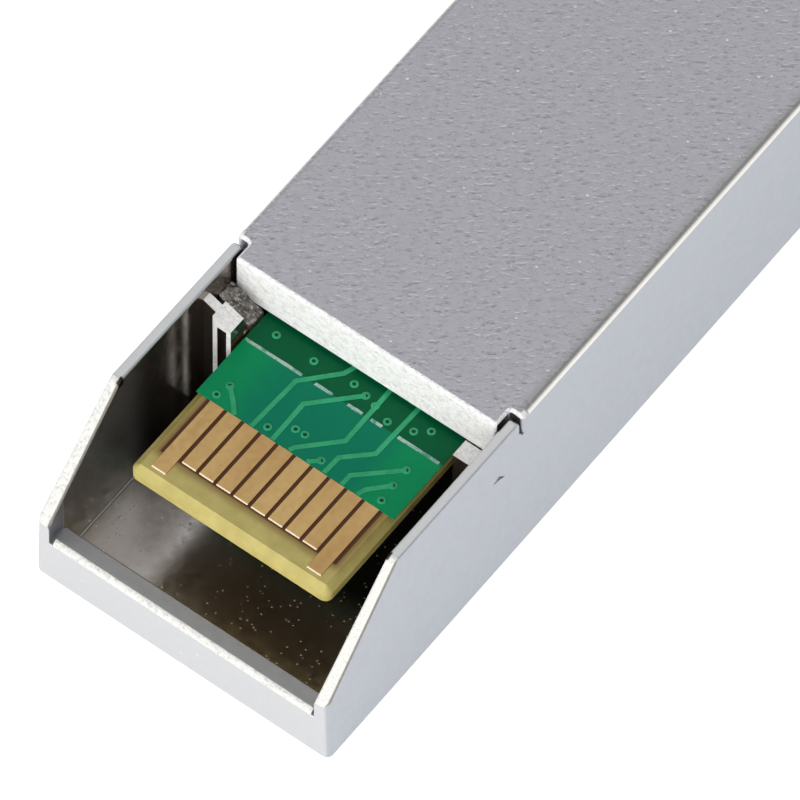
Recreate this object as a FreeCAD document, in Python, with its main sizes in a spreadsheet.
import FreeCAD, Part
import os
import re

import Sketcher
from FreeCAD import Placement, Rotation, Vector

# Small-form-factor pluggable optical module, modelled the way it lies in the picture:
# label face down on z = 0, underside up, edge connector at -Y and optical nose at +Y.
# The origin is on the label face. Lengths are millimetres, angles degrees.

doc = FreeCAD.newDocument("sfp_module")
sheet = doc.addObject("Spreadsheet::Sheet", "Dims")

# Driving dimensions: cell name, value, what it measures.
DIMENSIONS = [
    # Shell
    ("body_w", 13.4, "width of the body at the seam"),
    ("sole_out", 0.17, "casting draft: label face beyond the seam, each side"),
    ("top_in", 0.08, "casting draft: underside inside the seam, each side"),
    ("body_h", 8.5, "label face to underside"),
    ("rear_len", 24.25, "origin to the rear wall"),
    ("shell_len", 18.5, "origin to the front end of the cover"),
    ("wall_t", 0.53, "side wall of the cover"),
    ("rear_wall_t", 0.88, "rear wall of the cover"),
    ("rear_wall_h", 2.78, "height of the rear wall"),
    ("floor_t", 0.7, "floor of the cover"),
    ("skirt_h", 2.55, "depth of the base's skirts, underside to seam"),
    ("slope_end_h", 0.88, "top of the rear wall to the low end of the sloped edge"),
    ("kink_len", 4.38, "rear face to the flaps' kink"),
    ("kink_r", 0.5, "rounding of the kink"),
    ("flap_drop", 0.18, "underside to the flaps' top edge"),
    ("flap_gap", 0.15, "gap in front of a flap's tip"),
    ("flap_tip_r", 0.25, "rounding of a flap's tip"),
    ("notch_len", 0.88, "bar to the end of the pocket that takes a flap"),
    ("notch_r", 0.12, "rounding of that pocket"),
    ("rim_r", 0.18, "rounded upper rim of that pocket"),
    ("hook_drop", 1.2, "underside to the top of the hook's slanted edge"),
    ("hook_step_h", 0.25, "height of the small step under a flap's tip"),
    ("hook_reach", 1.5, "pocket end to the hook's tip"),
    ("hook_heel", 1.13, "pocket end to the hook's lower corner"),
    ("hook_tip_h", 0.4, "seam to the hook's tip"),
    ("hook_slack", 0.37, "length of the small gap behind the hook"),
    ("hook_slack_h", 0.25, "seam to that gap's corner"),
    ("corner_r", 0.3, "upright rear corners of the cover"),
    ("sole_r", 0.25, "rounded lower edges of the cover"),
    ("edge_r", 0.12, "broken edges of the walls"),
    ("lip_r", 0.3, "rounded outer edge of the rear wall"),
    ("lip_in_r", 0.06, "broken inner edge of the rear wall"),
    ("lip_notch_w", 0.16, "notch at each end of the rear wall"),
    ("lip_notch_h", 0.2, "depth of that notch"),
    ("plate_r", 0.3, "rounded long edges of the underside plate"),
    # Base casting
    ("plate_t", 1.0, "underside plate"),
    ("tray_len", 11.17, "rear face to the bar"),
    ("bar_t", 1.2, "thickness of the bar"),
    ("bar_gap", 0.14, "gap between the bar and a side wall"),
    ("bar_clear", 0.25, "gap between the bar and the board"),
    ("bar_end_r", 0.12, "rounded ends of the bar"),
    ("bar_low_r", 0.35, "rounded lower corners of the bar"),
    ("skirt_lap", 0.57, "skirt's overlap inside the cover wall"),
    ("lap_gap", 0.07, "gap between lap rail and cover wall"),
    ("lap_h", 1.05, "depth of the lap rail under the seam"),
    ("lap_rear", 2.45, "bar to the rear end of the lap rail"),
    ("lap_front", 1.5, "front end of the lap rail to the cover's front"),
    ("merge", 0.1, "overlap where two features join"),
    # Posts, ledges and pedestal in the cover
    ("post_gap", 0.14, "gap between a post and the board"),
    ("post_setback", 9.2, "rear face to the tall left post"),
    ("post_t", 0.8, "posts along the board"),
    ("post_rise", 1.05, "board face to the left post's top at its inner side"),
    ("post_slope_h", 0.8, "rise of that top towards the wall"),
    ("low_post_setback", 10.3, "rear face to the low right post"),
    ("low_post_rise", 0.35, "board face to the right post's top"),
    ("rib_w", 0.21, "the two upright ribs of a post"),
    ("groove_w", 0.42, "groove between the ribs"),
    ("groove_d", 0.35, "depth of that groove"),
    ("groove_rise", 0.85, "board face to the groove's top"),
    ("web_setback", 0.2, "post's rear face to the web that ties it to the wall"),
    ("web_t", 0.4, "thickness of that web"),
    ("ledge_lap", 0.7, "ledge under the board's edge"),
    ("ledge_len", 2.0, "length of a ledge along the board"),
    ("ledge_rear", 1.55, "bar to the rear ledges"),
    ("ledge_front", 5.4, "front ledges to the board's front edge"),
    ("ledge_gap", 0.05, "gap between ledge and lap rail"),
    ("hold_lap", 0.5, "hold-down over the board's edge"),
    ("pedestal_rim", 0.4, "pedestal beyond the heat pad"),
    # Circuit board
    ("pcb_w", 9.2, "board width"),
    ("pcb_depth", 2.55, "underside to the board face"),
    ("pcb_t", 1.0, "board thickness"),
    ("pcb_inset", 2.86, "rear face to the board's rear edge"),
    ("board_gap", 2.4, "board's front edge to the optical cans"),
    ("pcb_bevel", 0.3, "bevel on the rear edge"),
    ("pcb_corner", 0.35, "rounded rear corners"),
    ("mask_t", 0.03, "solder mask film"),
    ("mask_setback", 4.05, "board's rear edge to the solder mask"),
    ("finger_pitch", 0.8, "contact pitch"),
    ("finger_w", 0.65, "contact width"),
    ("finger_t", 0.04, "contact thickness"),
    ("finger_short", 1.26, "board's rear edge to the short contacts"),
    ("finger_long", 0.46, "board's rear edge to the two long contacts"),
    # Electronics
    ("driver_w", 5.0, "side of the driver chip"),
    ("driver_y", -2.0, "centre of the driver chip"),
    ("chip_t", 0.8, "height of a chip"),
    ("heat_pad_t", 0.82, "heat pad between chip and pedestal"),
    ("heat_pad_inset", 0.1, "chip's side to the heat pad's side"),
    ("ctrl_w", 4.0, "side of the controller chip"),
    ("ctrl_x", 0.6, "its centre across"),
    ("ctrl_y", 2.4, "its centre along"),
    ("cap_len", 1.0, "chip capacitor length"),
    ("cap_w", 0.5, "chip capacitor width"),
    ("cap_h", 0.42, "chip capacitor height"),
    ("cap_gap", 1.0, "gap between capacitors"),
    ("cap_row_y", -4.6, "first row of capacitors"),
    ("cap_row_gap", 1.1, "gap between the rows"),
    # Optics
    ("lc_pitch", 6.25, "distance between the fibre axes"),
    ("lc_h", 4.5, "label face to the fibre axes"),
    ("barrel_r", 1.5, "optical barrel"),
    ("barrel_clear", 0.05, "gap between barrel and nose wall"),
    ("barrel_reach", 4.4, "barrel inside a plug opening"),
    ("ferrule_r", 0.626, "ferrule bore"),
    ("ferrule_depth", 4.5, "depth of the ferrule bore"),
    ("flange_r", 2.1, "barrel flange"),
    ("flange_t", 1.2, "flange thickness"),
    ("flange_room", 1.4, "cover's front to the nose wall"),
    ("flange_gap", 0.25, "space round the flanges"),
    ("can_r", 2.0, "optical can"),
    ("can_len", 4.3, "length of the can"),
    ("header_lip", 0.15, "header beyond the can"),
    ("header_t", 0.6, "header thickness"),
    ("flex_t", 0.12, "flexible circuit"),
    ("flex_w", 3.0, "its width"),
    ("flex_fall", 1.4, "fibre axis to its lower end"),
    ("flex_rise", 1.2, "fibre axis to its bend"),
    ("flex_lead", 0.3, "board's front edge to where it lands"),
    ("flex_land", 2.6, "length on the board"),
    ("flex_nip", 0.08, "inner side of the bend"),
    ("clamp_t", 0.9, "optics clamp"),
    ("clamp_back", 0.1, "clamp to the cover's front"),
    ("clamp_edge", 0.275, "clamp beyond the cans"),
    ("clamp_drop", 0.2, "fibre axis to the clamp's top"),
    ("clamp_clear", 0.02, "clearance round the cans"),
    # Nose
    ("sheet_t", 0.15, "collar sheet and the recess for it"),
    ("collar_len", 5.0, "cover's front to the shoulder that meets the cage"),
    ("nose_out", 0.15, "nose beyond the body's sides"),
    ("nose_lift", 0.1, "nose above the underside"),
    ("nose_wall_t", 2.7, "wall behind the plug openings"),
    ("port_depth", 9.9, "depth of the plug openings"),
    ("port_w", 4.6, "side of a plug opening"),
    ("key_w", 2.8, "groove for a plug's latch"),
    ("key_h", 1.02, "height of that groove"),
    ("waist_len", 4.1, "narrow front end between the bail arms"),
    ("nose_r", 0.35, "rounded edges of the nose"),
    ("front_r", 0.3, "rounded edges of the front face"),
    # Latch
    ("latch_to_stop", 2.75, "latch shoulder to the cage shoulder"),
    ("lever_arm", 5.45, "latch shoulder to the lever pin"),
    ("lever_w", 5.0, "width of the latch lever"),
    ("lever_t", 0.6, "thickness of the lever"),
    ("lever_sink", 0.05, "underside to the lever's rear arm"),
    ("lever_tail", 1.95, "latch shoulder to the lever's rear end"),
    ("hub_half", 0.9, "half length of the lever's hub"),
    ("hub_bevel", 0.35, "bevels of the hub"),
    ("hub_rise", 0.65, "rise of the hub's lower front"),
    ("boss_flat", 0.85, "flat on the latch boss"),
    ("boss_h", 0.45, "boss above the underside"),
    ("boss_w", 2.6, "width of the boss"),
    ("pin_lift", 0.4, "nose to the pin's axis"),
    ("pin_r", 0.5, "lever pin"),
    ("pin_clear", 0.03, "running clearance of pin and bail"),
    ("recess_gap", 0.25, "space round the lever"),
    ("lever_travel", 0.7, "room under the lever's rear end"),
    ("lever_room", 0.4, "room under the lever over the plug openings"),
    ("ear_gap", 0.35, "lever's side to a pin ear"),
    ("ear_t", 0.8, "thickness of a pin ear"),
    ("ear_half", 0.9, "half length and height of a pin ear"),
    ("ear_r", 0.5, "rounding of the ears"),
    ("window_w", 1.9, "window in the lever for the spring"),
    ("window_gap", 0.25, "window beyond the hub"),
    ("spring_r", 0.72, "mean coil radius"),
    ("spring_wire_r", 0.1, "spring wire"),
    ("spring_pitch", 0.3, "coil pitch"),
    ("spring_len", 1.2, "coil length"),
    ("leg_gap", 0.05, "spring leg to the wall of the lever recess"),
    # Bail
    ("bail_setback", 2.9, "front face to the bail's axis"),
    ("bail_lift", 0.29, "nose to the bail's axis"),
    ("bail_wire_r", 0.4, "bail wire"),
    ("arm_inset", 0.15, "nose's side to a bail arm"),
    ("arm_gap", 0.1, "bail arm to the narrow front end"),
    ("grip_r", 0.55, "grip sleeve"),
    ("grip_w", 8.4, "length of the grip"),
    ("grip_gap", 0.2, "front face to the grip"),
    ("grip_lift", 0.07, "label face to the grip"),
    ("bearing_t", 0.8, "thickness of a bail bearing"),
    ("bearing_half", 0.9, "half length of a bail bearing"),
    ("bearing_rise", 0.71, "bail axis to a bearing's top"),
    ("cam_gap", 0.2, "bearing to cam"),
    ("cam_w", 1.0, "width of a cam"),
    ("cam_r", 0.5, "cam radius"),
    ("cam_throw", 0.2, "cam offset"),
    ("cam_angle", 30.0, "cam offset below the axis at rest"),
    ("cam_clear", 0.14, "room under the cams"),
    ("tongue_gap", 0.06, "cam to the lever's tongue"),
    ("tongue_rear", 0.6, "bail axis to the cross piece's rear side"),
    ("tongue_front", 0.8, "bail axis to the lever's front end"),
    ("cross_over", 0.1, "cross piece beyond the cams"),
    # Shield collar
    ("band_len", 1.2, "collar band"),
    ("tip_gap", 0.4, "cover's front to the collar's finger tips"),
    ("bow", 0.3, "height of the bowed fingers"),
    ("slot_w", 0.4, "slot between fingers"),
    ("row_inset", 0.5, "body's side to the finger rows"),
    ("side_row_inset", 0.7, "label face and underside to the side fingers"),
    ("latch_opening", 0.2, "collar opening beyond the lever recess"),
]

ALIASES = set()
for row, (name, size, note) in enumerate(DIMENSIONS, start=1):
    sheet.set("A%d" % row, name)
    sheet.set("B%d" % row, str(size))
    sheet.setAlias("B%d" % row, name)
    sheet.set("C%d" % row, note)
    ALIASES.add(name)
doc.recompute()

# Places worked out from the driving dimensions. X is across, Y along, Z up.
HALF = "(body_w / 2)"
SOLE_HALF = "(body_w / 2 + sole_out)"
TOP_HALF = "(body_w / 2 - top_in)"
INSIDE = "(body_w / 2 - wall_t)"
REAR = "(-rear_len)"
KINK = "(-rear_len + kink_len)"
BAR = "(-rear_len + tray_len)"
NOTCH = "(-rear_len + tray_len + notch_len)"
FLAP_TIP = "(-rear_len + tray_len + notch_len - flap_gap)"
FLAP_TOP = "(body_h - flap_drop)"
SEAM = "(body_h - skirt_h)"
HOOK_TOP = "(body_h - hook_drop)"
HOOK_TIP = "(-rear_len + tray_len + notch_len - hook_reach)"
BAR_HALF = "(body_w / 2 - wall_t - bar_gap)"
SKIRT_IN = "(body_w / 2 - wall_t - skirt_lap)"
LAP_OUT = "(body_w / 2 - wall_t - lap_gap)"
LAP_LOW = "(body_h - skirt_h - lap_h)"
WALL_MID = "(body_w / 2 - wall_t / 2)"
FLOOR_MID = "(floor_t / 2)"
PCB_HALF = "(pcb_w / 2)"
PCB_TOP = "(body_h - pcb_depth)"
PCB_LOW = "(body_h - pcb_depth - pcb_t)"
MASK_TOP = "(body_h - pcb_depth + mask_t)"
MASK_LOW = "(body_h - pcb_depth - pcb_t - mask_t)"
PCB_REAR = "(-rear_len + pcb_inset)"
MASK_REAR = "(-rear_len + pcb_inset + mask_setback)"
POST_IN = "(pcb_w / 2 + post_gap)"
POST_REAR = "(-rear_len + post_setback)"
LOW_POST_REAR = "(-rear_len + low_post_setback)"
POST_OUT = "(pcb_w / 2 + post_gap + 2 * rib_w + groove_w)"
LEDGE_IN = "(pcb_w / 2 - ledge_lap)"
CHIP_LOW = "(body_h - pcb_depth - pcb_t - mask_t - chip_t)"
PEDESTAL_TOP = "(body_h - pcb_depth - pcb_t - mask_t - chip_t - heat_pad_t)"
HEAT_PAD_HALF = "(driver_w / 2 - heat_pad_inset)"
PEDESTAL_HALF = "(driver_w / 2 - heat_pad_inset + pedestal_rim)"
FIBRE = "(lc_pitch / 2)"
NOSE_WALL = "(shell_len + flange_room)"
FLANGE_REAR = "(shell_len + flange_room - flange_t)"
CAN_REAR = "(shell_len + flange_room - flange_t - can_len)"
PCB_FRONT = "(shell_len + flange_room - flange_t - can_len - board_gap)"
LEDGES = (BAR + " + ledge_rear", PCB_FRONT + " - ledge_front")
PORT_END = "(shell_len + flange_room + nose_wall_t)"
BARREL_TIP = "(shell_len + flange_room + nose_wall_t + barrel_reach)"
FRONT = "(shell_len + flange_room + nose_wall_t + port_depth)"
WAIST = FRONT + " - waist_len"
STOP = "(shell_len + collar_len)"
SEAT_HALF = "(body_w / 2 - sheet_t)"
NOSE_HALF = "(body_w / 2 + nose_out)"
NOSE_TOP = "(body_h + nose_lift)"
ARM = "(body_w / 2 + nose_out - arm_inset - bail_wire_r)"
WAIST_HALF = "(body_w / 2 + nose_out - arm_inset - 2 * bail_wire_r - arm_gap)"
BAIL_Y = "(shell_len + flange_room + nose_wall_t + port_depth - bail_setback)"
BAIL_Z = "(body_h + nose_lift + bail_lift)"
CROSSBAR_Y = "(shell_len + flange_room + nose_wall_t + port_depth + grip_gap + grip_r)"
CROSSBAR_Z = "(grip_lift + grip_r)"
BEARING_IN = WAIST_HALF + " - bearing_t"
CAM_OUT = WAIST_HALF + " - bearing_t - cam_gap"
CAM_IN = WAIST_HALF + " - bearing_t - cam_gap - cam_w"
BOSS = "(shell_len + collar_len - latch_to_stop)"
PIN_Y = "(shell_len + collar_len - latch_to_stop + lever_arm)"
PIN_Z = "(body_h + nose_lift + pin_lift)"
LEVER_HALF = "(lever_w / 2)"
LEVER_TOP = "(body_h - lever_sink)"
LEVER_LOW = "(body_h - lever_sink - lever_t)"
LEVER_REAR = BOSS + " - lever_tail"
LEVER_FRONT = BAIL_Y + " + tongue_front"
TONGUE_LOW = "(" + BAIL_Z + " - cam_throw * sin(cam_angle) + cam_r + tongue_gap)"
TONGUE_TOP = TONGUE_LOW + " + lever_t"
RECESS_HALF = "(lever_w / 2 + recess_gap)"
EAR_IN = "(lever_w / 2 + ear_gap)"
EAR_OUT = "(lever_w / 2 + ear_gap + ear_t)"
COIL_LOW = PIN_Z + " - spring_r"
LEG = "(hub_half + recess_gap - leg_gap)"
BAND_REAR = "(shell_len + collar_len - band_len)"
TIP_REAR = "(shell_len + tip_gap)"
CROWN = "((shell_len + collar_len - band_len + shell_len + tip_gap) / 2)"
ROW_HALF = "(body_w / 2 - row_inset)"
COLLAR_OPENING = "(lever_w / 2 + recess_gap + latch_opening)"
BEYOND = "(2 * body_w)"


def ex(text):
    """Turn a formula of cell names into an expression on the sheet."""
    def point(match):
        word = match.group(0)
        return "Dims." + word if word in ALIASES else word
    return re.sub(r"[a-z_][a-z0-9_]*", point, text)


def neg(text):
    return "-(%s)" % text


def span(low, high, side):
    """The low and high end of a span across, mirrored to the chosen side."""
    if side > 0:
        return low, high
    return neg(high), neg(low)


def sided(text, side):
    return text if side > 0 else neg(text)


def cell(name):
    return float(sheet.get(name))


# Sketch-based features

ROLES = {"XY": "XY_Plane", "XZ": "XZ_Plane", "YZ": "YZ_Plane"}
START_RING = 20.0


def rect(x0, x1, y0, y1):
    return [(x0, y0), (x1, y0), (x1, y1), (x0, y1)]


def circle(x, y, r):
    return ("circle", x, y, r)


def new_body(label):
    body = doc.addObject("PartDesign::Body", label)
    body.Label = label
    body.AllowCompound = True
    return body


def plane_of(body, role):
    for feature in body.Origin.OriginFeatures:
        if feature.Role == role:
            return feature
    raise RuntimeError("no plane " + role)


def tie(sk, constraint, formula):
    index = sk.addConstraint(constraint)
    sk.setExpression("Constraints[%d]" % index, ex(formula))


def add_circle(sk, loop):
    kind, x, y, r = loop
    geo = sk.addGeometry(Part.Circle(Vector(1, 1, 0), Vector(0, 0, 1), 1), False)
    tie(sk, Sketcher.Constraint("DistanceX", -1, 1, geo, 3, 1.0), x)
    tie(sk, Sketcher.Constraint("DistanceY", -1, 1, geo, 3, 1.0), y)
    tie(sk, Sketcher.Constraint("Radius", geo, 1.0), r)


def add_polygon(sk, loop):
    count = len(loop)
    ring = []
    for i in range(count):
        turn = Rotation(Vector(0, 0, 1), 360.0 * i / count)
        ring.append(turn.multVec(Vector(START_RING, 0, 0)))
    sides = [sk.addGeometry(Part.LineSegment(ring[i], ring[(i + 1) % count]), False) for i in range(count)]
    for i in range(count):
        sk.addConstraint(Sketcher.Constraint("Coincident", sides[i], 2, sides[(i + 1) % count], 1))
    for i, (x, y) in enumerate(loop):
        tie(sk, Sketcher.Constraint("DistanceX", -1, 1, sides[i], 1, ring[i].x), x)
        tie(sk, Sketcher.Constraint("DistanceY", -1, 1, sides[i], 1, ring[i].y), y)


def sketch(body, role, loops, offset):
    """Closed loops on an origin plane; every corner is tied to the sheet."""
    sk = body.newObject("Sketcher::SketchObject", "Sketch")
    sk.AttachmentSupport = [(plane_of(body, role), "")]
    sk.MapMode = "FlatFace"
    sk.setExpression("AttachmentOffset.Base.z", ex(offset))
    for loop in loops:
        if loop[0] == "circle":
            add_circle(sk, loop)
        else:
            add_polygon(sk, loop)
    doc.recompute()
    return sk


def pad(body, plane, loops, low, high):
    """Add material between two levels of the plane's axis."""
    offset = neg(high) if plane == "XZ" else low
    sk = sketch(body, ROLES[plane], loops, offset)
    feature = body.newObject("PartDesign::Pad", "Pad")
    feature.Profile = sk
    feature.setExpression("Length", ex("(%s) - (%s)" % (high, low)))
    body.Tip = feature
    doc.recompute()


def pocket(body, plane, loops, low, high):
    """Take material away between two levels of the plane's axis."""
    offset = neg(low) if plane == "XZ" else high
    before = body.Shape.Volume
    sk = sketch(body, ROLES[plane], loops, offset)
    feature = body.newObject("PartDesign::Pocket", "Pocket")
    feature.Profile = sk
    feature.setExpression("Length", ex("(%s) - (%s)" % (high, low)))
    body.Tip = feature
    doc.recompute()
    if body.Shape.Volume > before - 1e-6:
        raise RuntimeError("a pocket of %s cuts nothing" % body.Label)


def break_edges(body, size, test, kind="Fillet", measure="Radius"):
    """Round or bevel the edges that pass the test."""
    tip = body.Tip
    names = ["Edge%d" % i for i, edge in enumerate(tip.Shape.Edges, start=1) if test(edge)]
    if not names:
        raise RuntimeError("no edges to break on " + body.Label)
    feature = body.newObject("PartDesign::" + kind, kind)
    feature.Base = (tip, names)
    feature.setExpression(measure, ex(size))
    body.Tip = feature
    doc.recompute()
    if "Invalid" in feature.State or feature.Shape.isNull():
        raise RuntimeError("edges of %s cannot take %s" % (body.Label, size))


NEAR = 0.01


def lies(edge, **where):
    """True when both ends of an edge have the given coordinates; ax is the distance from x = 0."""
    for axis, target in where.items():
        for vertex in edge.Vertexes:
            got = abs(vertex.Point.x) if axis == "ax" else getattr(vertex.Point, axis)
            if abs(got - target) > NEAR:
                return False
    return True


def on_wall(edge, inner):
    """True when both ends of an edge are at least that far from x = 0, on the same side."""
    ends = [vertex.Point.x for vertex in edge.Vertexes]
    return min(abs(x) for x in ends) > inner - NEAR and ends[0] * ends[-1] > 0


def runs(edge, axis):
    """True for a straight edge along the axis."""
    if len(edge.Vertexes) < 2:
        return False
    way = edge.Vertexes[1].Point - edge.Vertexes[0].Point
    return abs(getattr(way, axis)) > 0.999 * way.Length > 1e-6


# Primitive-based features

AXIS_TURN = {
    "x": Rotation(Vector(0, 1, 0), 90),
    "y": Rotation(Vector(1, 0, 0), -90),
}


def put(obj, x, y, z):
    obj.setExpression("Placement.Base.x", ex(x))
    obj.setExpression("Placement.Base.y", ex(y))
    obj.setExpression("Placement.Base.z", ex(z))


def box(label, x0, x1, y0, y1, z0, z1):
    obj = doc.addObject("Part::Box", label)
    obj.Label = label
    obj.setExpression("Length", ex("(%s) - (%s)" % (x1, x0)))
    obj.setExpression("Width", ex("(%s) - (%s)" % (y1, y0)))
    obj.setExpression("Height", ex("(%s) - (%s)" % (z1, z0)))
    put(obj, x0, y0, z0)
    return obj


def rod(label, axis, radius, low, high, u, v):
    """A cylinder along x or y, from low to high, at the other two coordinates."""
    obj = doc.addObject("Part::Cylinder", label)
    obj.Label = label
    obj.Placement = Placement(Vector(0, 0, 0), AXIS_TURN[axis])
    obj.setExpression("Radius", ex(radius))
    obj.setExpression("Height", ex("(%s) - (%s)" % (high, low)))
    if axis == "x":
        put(obj, low, u, v)
    else:
        put(obj, u, low, v)
    return obj


def ball(label, radius, x, y, z):
    obj = doc.addObject("Part::Sphere", label)
    obj.setExpression("Radius", ex(radius))
    put(obj, x, y, z)
    return obj


def fuse(label, pieces):
    obj = doc.addObject("Part::MultiFuse", label)
    obj.Label = label
    obj.Shapes = pieces
    obj.Refine = True
    return obj


def cut(label, base, tool):
    obj = doc.addObject("Part::Cut", label)
    obj.Label = label
    obj.Base = base
    obj.Tool = tool
    return obj


def group(label, pieces):
    obj = doc.addObject("Part::Compound", label)
    obj.Label = label
    obj.Links = pieces
    return obj


SIDES = (-1, 1)
SIDE_WORD = {-1: "left", 1: "right"}


def lean_sides(body):
    """Cut the casting draft on both sides: widest at the label face, narrowest at the underside."""
    wedges = []
    for side in SIDES:
        low = sided(SOLE_HALF, side)
        high = sided(TOP_HALF, side)
        out = sided(BEYOND, side)
        wedges.append([(low, "0"), (out, "0"), (out, "body_h"), (high, "body_h")])
    pocket(body, "XZ", wedges, REAR + " - merge", "shell_len")


def post(body, side, face, rear):
    """Upright beside the board, tied to the side wall by a thinner web."""
    pad(body, "XZ", [face], rear, rear + " + post_t")
    low, high = span(POST_OUT, INSIDE, side)
    web = rear + " + web_setback"
    behind_web = rect(low, high, rear + " - merge", web)
    before_web = rect(low, high, web + " + web_t", rear + " + post_t + merge")
    pocket(body, "XY", [behind_web, before_web], "floor_t", BEYOND)


def top_cover():
    """Label-side shell: floor, side walls with flaps, low rear wall, board posts and ledges."""
    body = new_body("top_cover")
    inside = cell("body_w") / 2 - cell("wall_t")
    mid_wall = inside + cell("wall_t") / 2
    rear = -cell("rear_len")
    kink = rear + cell("kink_len")
    front = cell("shell_len")
    lip = cell("rear_wall_h")
    lip_inside = rear + cell("rear_wall_t")
    top = cell("body_h") - cell("flap_drop")
    tip = rear + cell("tray_len") + cell("notch_len") - cell("flap_gap")
    outline = [
        (REAR, "0"),
        ("shell_len", "0"),
        ("shell_len", SEAM),
        (NOTCH + " - hook_heel", SEAM),
        (HOOK_TIP + " - hook_slack", SEAM + " + hook_slack_h"),
        (HOOK_TIP, SEAM + " + hook_tip_h"),
        (NOTCH, HOOK_TOP),
        (FLAP_TIP, HOOK_TOP + " + hook_step_h"),
        (FLAP_TIP, FLAP_TOP),
        (KINK, FLAP_TOP),
        (REAR, "rear_wall_h + slope_end_h"),
    ]
    pad(body, "YZ", [outline], neg(SOLE_HALF), SOLE_HALF)
    lean_sides(body)
    break_edges(body, "kink_r", lambda e: runs(e, "x") and lies(e, y=kink, z=top))
    break_edges(body, "flap_tip_r", lambda e: runs(e, "x") and lies(e, y=tip, z=top))
    pocket(body, "XY", [rect(neg(INSIDE), INSIDE, REAR + " + rear_wall_t", "shell_len + merge")],
           "floor_t", BEYOND)
    pocket(body, "XY", [rect(neg(INSIDE), INSIDE, REAR + " - merge", REAR + " + rear_wall_t + merge")],
           "rear_wall_h", BEYOND)
    break_edges(body, "corner_r", lambda e: on_wall(e, mid_wall) and lies(e, y=rear)
                and e.BoundBox.ZMin < NEAR)
    break_edges(body, "edge_r", lambda e: on_wall(e, inside) and e.BoundBox.ZMax > top - NEAR
                and e.BoundBox.ZMin > lip and not runs(e, "x"))
    break_edges(body, "sole_r", lambda e: e.BoundBox.ZMax < NEAR and not lies(e, y=front))
    break_edges(body, "lip_in_r", lambda e: runs(e, "x") and lies(e, y=lip_inside, z=lip))
    break_edges(body, "lip_r", lambda e: runs(e, "x") and lies(e, y=rear, z=lip))
    notches = []
    for side in SIDES:
        low, high = span(INSIDE + " - lip_notch_w", INSIDE, side)
        notches.append(rect(low, high, REAR + " - merge", REAR + " + rear_wall_t + merge"))
    pocket(body, "XY", notches, "rear_wall_h - lip_notch_h", "rear_wall_h + merge")
    tall_top = PCB_TOP + " + post_rise"
    tall = [
        (neg(POST_IN), FLOOR_MID),
        (neg(WALL_MID), FLOOR_MID),
        (neg(WALL_MID), tall_top + " + post_slope_h"),
        (neg(POST_IN), tall_top),
    ]
    post(body, -1, tall, POST_REAR)
    low_top = PCB_TOP + " + low_post_rise"
    web_top = SEAM + " - ledge_gap"
    short = [
        (POST_IN, FLOOR_MID),
        (WALL_MID, FLOOR_MID),
        (WALL_MID, web_top),
        (POST_OUT, web_top),
        (POST_OUT, low_top),
        (POST_IN, low_top),
    ]
    post(body, 1, short, LOW_POST_REAR)
    pad(body, "XY", [rect(neg(WALL_MID), neg(POST_IN), POST_REAR + " + post_t - merge",
                          LOW_POST_REAR + " + post_t")], FLOOR_MID, web_top)
    low, high = span(POST_IN + " + rib_w", POST_IN + " + rib_w + groove_w", -1)
    pocket(body, "XY", [rect(low, high, POST_REAR + " - merge", POST_REAR + " + groove_d")],
           "floor_t", PCB_TOP + " + groove_rise")
    for side in SIDES:
        for where in LEDGES:
            low, high = span(LEDGE_IN, WALL_MID, side)
            pad(body, "XY", [rect(low, high, where, where + " + ledge_len")],
                FLOOR_MID, LAP_LOW + " - ledge_gap")
            low, high = span(LEDGE_IN, SKIRT_IN + " - merge", side)
            pad(body, "XY", [rect(low, high, where, where + " + ledge_len")], FLOOR_MID, MASK_LOW)
    pad(body, "XY", [rect(neg(PEDESTAL_HALF), PEDESTAL_HALF, "driver_y - " + PEDESTAL_HALF,
                          "driver_y + " + PEDESTAL_HALF)], FLOOR_MID, PEDESTAL_TOP)
    return body


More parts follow.
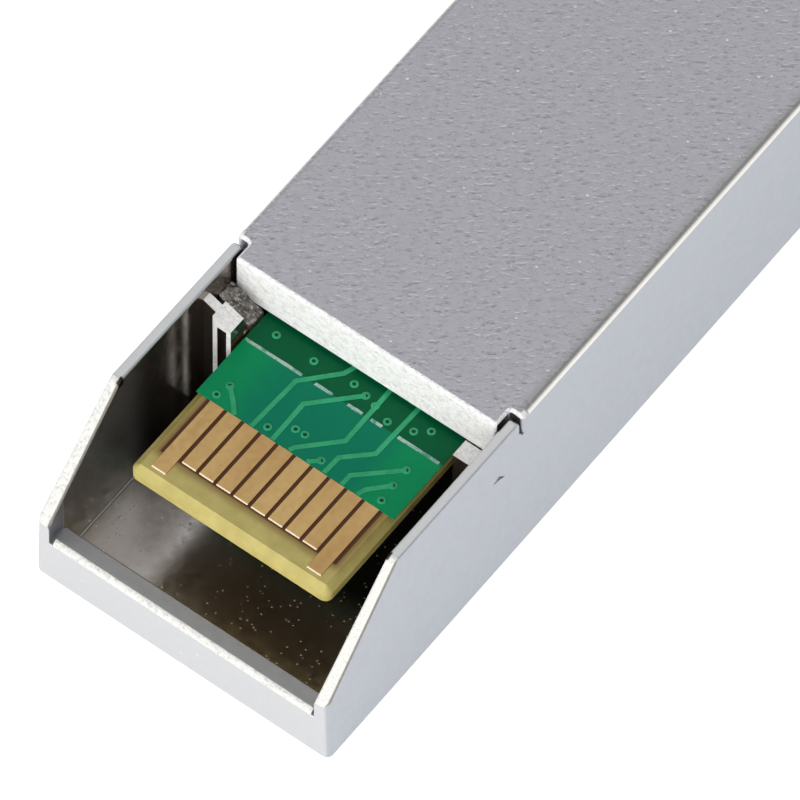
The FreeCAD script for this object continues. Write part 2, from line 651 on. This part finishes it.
def base_housing():
    """Underside casting: plate, rear bar, skirts, and the nose with two plug openings."""
    body = new_body("base_housing")
    top_half = cell("body_w") / 2 - cell("top_in")
    bar = cell("tray_len") - cell("rear_len")
    bar_half = cell("body_w") / 2 - cell("wall_t") - cell("bar_gap")
    bar_low = cell("body_h") - cell("pcb_depth") + cell("bar_clear")
    notch = bar + cell("notch_len")
    top = cell("body_h")
    pad(body, "YZ", [rect(BAR, "shell_len", PCB_TOP + " + bar_clear", "body_h")], neg(BAR_HALF), BAR_HALF)
    for side in SIDES:
        low, high = span(SKIRT_IN, HALF, side)
        pad(body, "YZ", [rect(NOTCH, "shell_len", SEAM, "body_h")], low, high)
        hook = [
            (NOTCH + " + notch_r", SEAM),
            (NOTCH + " + notch_r", HOOK_TOP),
            (NOTCH, HOOK_TOP),
            (HOOK_TIP, SEAM + " + hook_tip_h"),
            (NOTCH + " - hook_heel", SEAM),
        ]
        low, high = span(INSIDE, HALF, side)
        pad(body, "YZ", [hook], low, high)
    lean_sides(body)
    break_edges(body, "bar_low_r", lambda e: runs(e, "y") and lies(e, ax=bar_half, z=bar_low))
    break_edges(body, "bar_end_r", lambda e: runs(e, "z") and lies(e, ax=bar_half, y=bar))
    break_edges(body, "notch_r", lambda e: runs(e, "z") and lies(e, ax=bar_half, y=notch))
    break_edges(body, "plate_r", lambda e: runs(e, "y") and lies(e, ax=top_half, z=top))
    break_edges(body, "rim_r", lambda e: on_wall(e, bar_half) and e.BoundBox.ZMin > top - NEAR
                and e.BoundBox.YMax < notch + NEAR)
    pocket(body, "XY", [rect(neg(SKIRT_IN), SKIRT_IN, BAR + " + bar_t", "shell_len + merge")],
           LAP_LOW, "body_h - plate_t")
    for side in SIDES:
        low, high = span(SKIRT_IN, LAP_OUT, side)
        pad(body, "XY", [rect(low, high, BAR + " + lap_rear", "shell_len - lap_front")],
            LAP_LOW, SEAM + " + merge")
        for where in LEDGES:
            low, high = span(PCB_HALF + " - hold_lap", SKIRT_IN + " + merge", side)
            pad(body, "XY", [rect(low, high, where, where + " + ledge_len")],
                MASK_TOP, "body_h - plate_t / 2")
    nose(body)
    latch_seats(body)
    return body


def nose(body):
    top = cell("body_h") + cell("nose_lift")
    stop = cell("shell_len") + cell("collar_len")
    front = cell("shell_len") + cell("flange_room") + cell("nose_wall_t") + cell("port_depth")
    pad(body, "XY", [rect(neg(SEAT_HALF), SEAT_HALF, "shell_len", STOP + " + merge")],
        "sheet_t", "body_h - sheet_t")
    pad(body, "XY", [rect(neg(NOSE_HALF), NOSE_HALF, STOP, WAIST)], "0", NOSE_TOP)
    pad(body, "XY", [rect(neg(WAIST_HALF), WAIST_HALF, WAIST + " - merge", FRONT)], "0", NOSE_TOP)
    break_edges(body, "nose_r", lambda e: runs(e, "y") and e.BoundBox.YMin > stop - NEAR
                and (lies(e, z=0) or lies(e, z=top)))
    break_edges(body, "front_r", lambda e: lies(e, y=front))
    ports = []
    keys = []
    holes = []
    for side in SIDES:
        low, high = span(FIBRE + " - port_w / 2", FIBRE + " + port_w / 2", side)
        ports.append(rect(low, high, "lc_h - port_w / 2", "lc_h + port_w / 2"))
        low, high = span(FIBRE + " - key_w / 2", FIBRE + " + key_w / 2", side)
        keys.append(rect(low, high, "lc_h - port_w / 2 - key_h", "lc_h"))
        holes.append(circle(sided(FIBRE, side), "lc_h", "barrel_r + barrel_clear"))
    pocket(body, "XZ", ports, PORT_END, FRONT + " + merge")
    pocket(body, "XZ", keys, PORT_END, FRONT + " + merge")
    pocket(body, "XZ", holes, NOSE_WALL, PORT_END + " + merge")
    room = FIBRE + " + flange_r + flange_gap"
    room_low = "lc_h - flange_r - flange_gap"
    room_high = "lc_h + flange_r + flange_gap"
    pocket(body, "XZ", [rect(neg(room), room, room_low, room_high)], "shell_len - merge", NOSE_WALL)


def latch_seats(body):
    """Recess, ears and bearings that carry the latch lever and the bail."""
    pocket(body, "XY", [rect(neg(RECESS_HALF), RECESS_HALF, LEVER_REAR + " - recess_gap", PORT_END)],
           LEVER_LOW + " - lever_travel", BEYOND)
    recess_front = PIN_Y + " + hub_half + recess_gap"
    pocket(body, "XY", [rect(neg(RECESS_HALF), RECESS_HALF, PORT_END + " - merge", recess_front)],
           LEVER_LOW + " - lever_room", BEYOND)
    ears = []
    bearings = []
    cam_rooms = []
    for side in SIDES:
        low, high = span(EAR_IN, EAR_OUT, side)
        ears.append(rect(low, high, PIN_Y + " - ear_half", PIN_Y + " + ear_half"))
        low, high = span(BEARING_IN, WAIST_HALF, side)
        bearings.append(rect(low, high, BAIL_Y + " - bearing_half", BAIL_Y + " + bearing_half"))
        low, high = span(CAM_IN + " - cam_gap", BEARING_IN, side)
        reach = "(cam_r + cam_throw + cam_gap)"
        cam_rooms.append(rect(low, high, BAIL_Y + " - " + reach, BAIL_Y + " + " + reach))
    pad(body, "XY", ears, LEVER_LOW, PIN_Z + " + ear_half")
    pad(body, "XY", bearings, LEVER_LOW, BAIL_Z + " + bearing_rise")
    ear_top = cell("body_h") + cell("nose_lift") + cell("pin_lift") + cell("ear_half")
    bearing_top = cell("body_h") + cell("nose_lift") + cell("bail_lift") + cell("bearing_rise")
    break_edges(body, "ear_r", lambda e: runs(e, "x") and (lies(e, z=ear_top) or lies(e, z=bearing_top)))
    pocket(body, "XY", cam_rooms, BAIL_Z + " - cam_r - cam_throw - cam_clear", NOSE_TOP + " + merge")
    pocket(body, "YZ", [circle(PIN_Y, PIN_Z, "pin_r")], neg(NOSE_HALF), NOSE_HALF)
    pocket(body, "YZ", [circle(BAIL_Y, BAIL_Z, "bail_wire_r + pin_clear")], neg(NOSE_HALF), NOSE_HALF)


def circuit_board():
    body = new_body("circuit_board")
    rear = -cell("rear_len") + cell("pcb_inset")
    pad(body, "XY", [rect(neg(PCB_HALF), PCB_HALF, PCB_REAR, PCB_FRONT)], PCB_LOW, PCB_TOP)
    break_edges(body, "pcb_corner", lambda e: runs(e, "z") and lies(e, y=rear))
    break_edges(body, "pcb_bevel", lambda e: runs(e, "x") and lies(e, y=rear), "Chamfer", "Size")
    return body


def solder_mask(label, low, high):
    return box(label, neg(PCB_HALF), PCB_HALF, MASK_REAR, PCB_FRONT, low, high)


FINGERS_PER_FACE = 10


def contact_row(label, low, high, long_ends):
    """Ten gold contacts; the two ground contacts of the lower face start first."""
    strips = []
    for number in range(FINGERS_PER_FACE):
        centre = "(%.1f) * finger_pitch" % (number - (FINGERS_PER_FACE - 1) / 2)
        reach = "finger_long" if long_ends and number in (0, FINGERS_PER_FACE - 1) else "finger_short"
        strips.append(box("%s_%d" % (label, number + 1),
                          centre + " - finger_w / 2", centre + " + finger_w / 2",
                          PCB_REAR + " + " + reach, MASK_REAR, low, high))
    return group(label, strips)


CAPACITOR_ROWS = 2
CAPACITORS_PER_ROW = 5


def capacitors():
    pieces = []
    for line in range(CAPACITOR_ROWS):
        for number in range(CAPACITORS_PER_ROW):
            x = "(%d) * (cap_w + cap_gap)" % (number - CAPACITORS_PER_ROW // 2)
            y = "cap_row_y + %d * (cap_len + cap_row_gap)" % line
            pieces.append(box("capacitor_%d_%d" % (line + 1, number + 1),
                              x + " - cap_w / 2", x + " + cap_w / 2",
                              y, y + " + cap_len", MASK_TOP, MASK_TOP + " + cap_h"))
    return group("capacitors", pieces)


def driver_chip():
    return box("driver_chip", "-driver_w / 2", "driver_w / 2", "driver_y - driver_w / 2",
               "driver_y + driver_w / 2", CHIP_LOW, MASK_LOW)


def heat_pad():
    return box("heat_pad", neg(HEAT_PAD_HALF), HEAT_PAD_HALF, "driver_y - " + HEAT_PAD_HALF,
               "driver_y + " + HEAT_PAD_HALF, PEDESTAL_TOP, CHIP_LOW)


def controller_chip():
    return box("controller_chip", "ctrl_x - ctrl_w / 2", "ctrl_x + ctrl_w / 2", "ctrl_y - ctrl_w / 2",
               "ctrl_y + ctrl_w / 2", MASK_TOP, MASK_TOP + " + chip_t")


def optical_barrel(word, x):
    tube = rod(word + "_tube", "y", "barrel_r", FLANGE_REAR, BARREL_TIP, x, "lc_h")
    flange = rod(word + "_flange", "y", "flange_r", FLANGE_REAR, NOSE_WALL, x, "lc_h")
    bore = rod(word + "_bore", "y", "ferrule_r", BARREL_TIP + " - ferrule_depth",
               BARREL_TIP + " + merge", x, "lc_h")
    return cut(word + "_barrel", fuse(word + "_turning", [tube, flange]), bore)


def optical_can(word, x):
    cap = rod(word + "_cap", "y", "can_r", CAN_REAR, FLANGE_REAR, x, "lc_h")
    header = rod(word + "_header", "y", "can_r + header_lip", CAN_REAR, CAN_REAR + " + header_t", x, "lc_h")
    return fuse(word + "_can", [cap, header])


def flex_circuit(word, x):
    """Thin strip from the can's header down onto the board."""
    body = new_body(word + "_flex")
    outline = [
        (CAN_REAR, "lc_h - flex_fall"),
        (CAN_REAR, "lc_h + flex_rise"),
        (PCB_FRONT + " + flex_lead", MASK_TOP + " + flex_t"),
        (PCB_FRONT + " - flex_land", MASK_TOP + " + flex_t"),
        (PCB_FRONT + " - flex_land", MASK_TOP),
        (PCB_FRONT + " + flex_lead", MASK_TOP),
        (CAN_REAR + " - flex_t", "lc_h + flex_rise - flex_nip"),
        (CAN_REAR + " - flex_t", "lc_h - flex_fall"),
    ]
    pad(body, "YZ", [outline], x + " - flex_w / 2", x + " + flex_w / 2")
    return body


def optics_clamp():
    body = new_body("optics_clamp")
    edge = FIBRE + " + can_r + clamp_edge"
    front = "shell_len - clamp_back"
    pad(body, "XZ", [rect(neg(edge), edge, "floor_t", "lc_h - clamp_drop")], front + " - clamp_t", front)
    cradles = [circle(sided(FIBRE, side), "lc_h", "can_r + clamp_clear") for side in SIDES]
    pocket(body, "XZ", cradles, front + " - clamp_t - merge", front + " + merge")
    return body


FINGERS_ACROSS = 8
FINGERS_UPRIGHT = 5


def emi_collar():
    """Sheet-metal band with bowed spring fingers, open over the latch."""
    body = new_body("emi_collar")
    pad(body, "XZ", [rect(neg(HALF), HALF, "0", "body_h"),
                     rect(neg(SEAT_HALF), SEAT_HALF, "sheet_t", "body_h - sheet_t")], BAND_REAR, STOP)
    pocket(body, "XY", [rect(neg(COLLAR_OPENING), COLLAR_OPENING, BAND_REAR + " - merge", STOP + " + merge")],
           "body_h - sheet_t - merge", "body_h + merge")
    root = BAND_REAR + " + merge"
    for side in SIDES:
        bowed_up = [
            (root, "body_h - sheet_t"),
            (root, "body_h"),
            (CROWN, "body_h + bow"),
            (TIP_REAR, "body_h"),
            (TIP_REAR, "body_h - sheet_t"),
            (CROWN, "body_h + bow - sheet_t"),
        ]
        low, high = span(COLLAR_OPENING, ROW_HALF, side)
        pad(body, "YZ", [bowed_up], low, high)
        bowed_out = [
            (sided(SEAT_HALF, side), root),
            (sided(HALF, side), root),
            (sided(HALF + " + bow", side), CROWN),
            (sided(HALF, side), TIP_REAR),
            (sided(SEAT_HALF, side), TIP_REAR),
            (sided(SEAT_HALF + " + bow", side), CROWN),
        ]
        pad(body, "XY", [bowed_out], "side_row_inset", "body_h - side_row_inset")
    pad(body, "XY", [rect(neg(ROW_HALF), ROW_HALF, TIP_REAR, root)], "0", "sheet_t")
    across = []
    for number in range(1, FINGERS_ACROSS):
        x = "(%d) * 2 * %s / %d" % (number - FINGERS_ACROSS // 2, ROW_HALF, FINGERS_ACROSS)
        across.append(rect(x + " - slot_w / 2", x + " + slot_w / 2", TIP_REAR + " - merge", BAND_REAR))
    pocket(body, "XY", across, "-merge", BEYOND)
    upright = []
    for number in range(1, FINGERS_UPRIGHT):
        z = "side_row_inset + %d * (body_h - 2 * side_row_inset) / %d" % (number, FINGERS_UPRIGHT)
        upright.append(rect(TIP_REAR + " - merge", BAND_REAR, z + " - slot_w / 2", z + " + slot_w / 2"))
    pocket(body, "YZ", upright, neg(BEYOND), BEYOND)
    return body


def latch_lever():
    """Rocker: rear arm with the latch boss, hub on the pin, front tongue over the cams."""
    body = new_body("latch_lever")
    hub_rear = PIN_Y + " - hub_half"
    hub_front = PIN_Y + " + hub_half"
    outline = [
        (LEVER_REAR, LEVER_LOW),
        (PIN_Y + " - hub_bevel", LEVER_LOW),
        (hub_front, LEVER_LOW + " + hub_rise"),
        (hub_front, TONGUE_LOW),
        (LEVER_FRONT, TONGUE_LOW),
        (LEVER_FRONT, TONGUE_TOP),
        (hub_rear + " + hub_bevel", TONGUE_TOP),
        (hub_rear, TONGUE_TOP + " - hub_bevel"),
        (hub_rear, LEVER_TOP),
        (LEVER_REAR, LEVER_TOP),
    ]
    pad(body, "YZ", [outline], neg(LEVER_HALF), LEVER_HALF)
    foot = LEVER_TOP + " - merge"
    ramp = "(boss_h + lever_sink + merge)"
    boss = [
        (BOSS, foot),
        (BOSS, "body_h + boss_h"),
        (BOSS + " - boss_flat", "body_h + boss_h"),
        (BOSS + " - boss_flat - " + ramp, foot),
    ]
    pad(body, "YZ", [boss], "-boss_w / 2", "boss_w / 2")
    cross = CAM_OUT + " + cross_over"
    pad(body, "XY", [rect(neg(cross), cross, BAIL_Y + " - tongue_rear", LEVER_FRONT)], TONGUE_LOW, TONGUE_TOP)
    pocket(body, "YZ", [circle(PIN_Y, PIN_Z, "pin_r + pin_clear")], "-lever_w", "lever_w")
    pocket(body, "XY", [rect("-window_w / 2", "window_w / 2",
                             hub_rear + " - window_gap", hub_front + " + window_gap")], "0", BEYOND)
    return body


def latch_pin():
    return rod("latch_pin", "x", "pin_r", neg(EAR_OUT), EAR_OUT, PIN_Y, PIN_Z)


def latch_spring():
    """Torsion spring on the pin, inside the lever's window."""
    coil = doc.addObject("Part::Helix", "spring_path")
    coil.setExpression("Pitch", ex("spring_pitch"))
    coil.setExpression("Height", ex("spring_len"))
    coil.setExpression("Radius", ex("spring_r"))
    coil.Placement = Placement(Vector(0, 0, 0), AXIS_TURN["x"])
    put(coil, "-spring_len / 2", PIN_Y, PIN_Z)
    wire = doc.addObject("Part::Circle", "spring_section")
    wire.setExpression("Radius", ex("spring_wire_r"))
    wire.Placement = Placement(Vector(0, 0, 0), AXIS_TURN["y"])
    put(wire, "-spring_len / 2", PIN_Y, COIL_LOW)
    turns = doc.addObject("Part::Sweep", "spring_turns")
    turns.Sections = [wire]
    turns.Spine = (coil, ["Edge1"])
    turns.Solid = True
    turns.Frenet = True
    doc.recompute()
    fixed = rod("spring_leg_fixed", "y", "spring_wire_r", PIN_Y + " - merge", PIN_Y + " + " + LEG,
                "-spring_len / 2", COIL_LOW)
    moving = rod("spring_leg_moving", "y", "spring_wire_r", PIN_Y + " - " + LEG, PIN_Y + " + merge",
                 "spring_len / 2", COIL_LOW)
    return fuse("latch_spring", [turns, fixed, moving])


def bail():
    """Bent wire loop with a cam at each end."""
    rise = "(%s - %s)" % (BAIL_Z, CROSSBAR_Z)
    run = "(%s - %s)" % (CROSSBAR_Y, BAIL_Y)
    pieces = [rod("bail_crossbar", "x", "bail_wire_r", neg(ARM), ARM, CROSSBAR_Y, CROSSBAR_Z)]
    for side in SIDES:
        word = SIDE_WORD[side]
        x = sided(ARM, side)
        arm = doc.addObject("Part::Cylinder", "bail_arm_" + word)
        arm.Placement = Placement(Vector(0, 0, 0), Rotation(Vector(1, 0, 0), 20))
        arm.setExpression("Radius", ex("bail_wire_r"))
        arm.setExpression("Height", ex("sqrt(%s^2 + %s^2)" % (run, rise)))
        arm.setExpression("Placement.Rotation.Angle", ex("atan(%s / %s)" % (run, rise)))
        put(arm, x, CROSSBAR_Y, CROSSBAR_Z)
        low, high = span(CAM_IN, ARM, side)
        stub = rod("bail_stub_" + word, "x", "bail_wire_r", low, high, BAIL_Y, BAIL_Z)
        low, high = span(CAM_IN, CAM_OUT, side)
        cam = rod("bail_cam_" + word, "x", "cam_r", low, high, BAIL_Y + " + cam_throw * cos(cam_angle)",
                  BAIL_Z + " - cam_throw * sin(cam_angle)")
        corner = ball("bail_corner_" + word, "bail_wire_r", x, CROSSBAR_Y, CROSSBAR_Z)
        elbow = ball("bail_elbow_" + word, "bail_wire_r", x, BAIL_Y, BAIL_Z)
        pieces.extend([arm, stub, cam, corner, elbow])
    return fuse("bail", pieces)


def bail_grip():
    sleeve = rod("grip_sleeve", "x", "grip_r", "-grip_w / 2", "grip_w / 2", CROSSBAR_Y, CROSSBAR_Z)
    core = rod("grip_core", "x", "bail_wire_r", "-grip_w / 2 - merge", "grip_w / 2 + merge",
               CROSSBAR_Y, CROSSBAR_Z)
    return cut("bail_grip", sleeve, core)


nodes = [
    top_cover(),
    base_housing(),
    circuit_board(),
    solder_mask("mask_lower", PCB_TOP, MASK_TOP),
    solder_mask("mask_upper", MASK_LOW, PCB_LOW),
    contact_row("fingers_lower", PCB_TOP, PCB_TOP + " + finger_t", True),
    contact_row("fingers_upper", PCB_LOW + " - finger_t", PCB_LOW, False),
    driver_chip(),
    heat_pad(),
    controller_chip(),
    capacitors(),
    optics_clamp(),
    emi_collar(),
    latch_lever(),
    latch_pin(),
    latch_spring(),
    bail(),
    bail_grip(),
]
for channel, across in (("tx", neg(FIBRE)), ("rx", FIBRE)):
    nodes.append(optical_barrel(channel, across))
    nodes.append(optical_can(channel, across))
    nodes.append(flex_circuit(channel, across))
doc.recompute()

# Check every object, then write one file for each node.
for obj in doc.Objects:
    if "Invalid" in obj.State or "Error" in obj.State:
        raise RuntimeError("%s is in error: %s" % (obj.Label, obj.State))
for node in nodes:
    if node.Shape.isNull() or not node.Shape.isValid() or not node.Shape.Solids:
        raise RuntimeError("%s has no valid solid" % node.Label)
os.makedirs("parts", exist_ok=True)
for node in nodes:
    node.Shape.exportStep("parts/%s.step" % node.Label)
    print(node.Label, len(node.Shape.Solids), "solids", round(node.Shape.Volume, 3), "mm3")
print(len(nodes), "nodes")
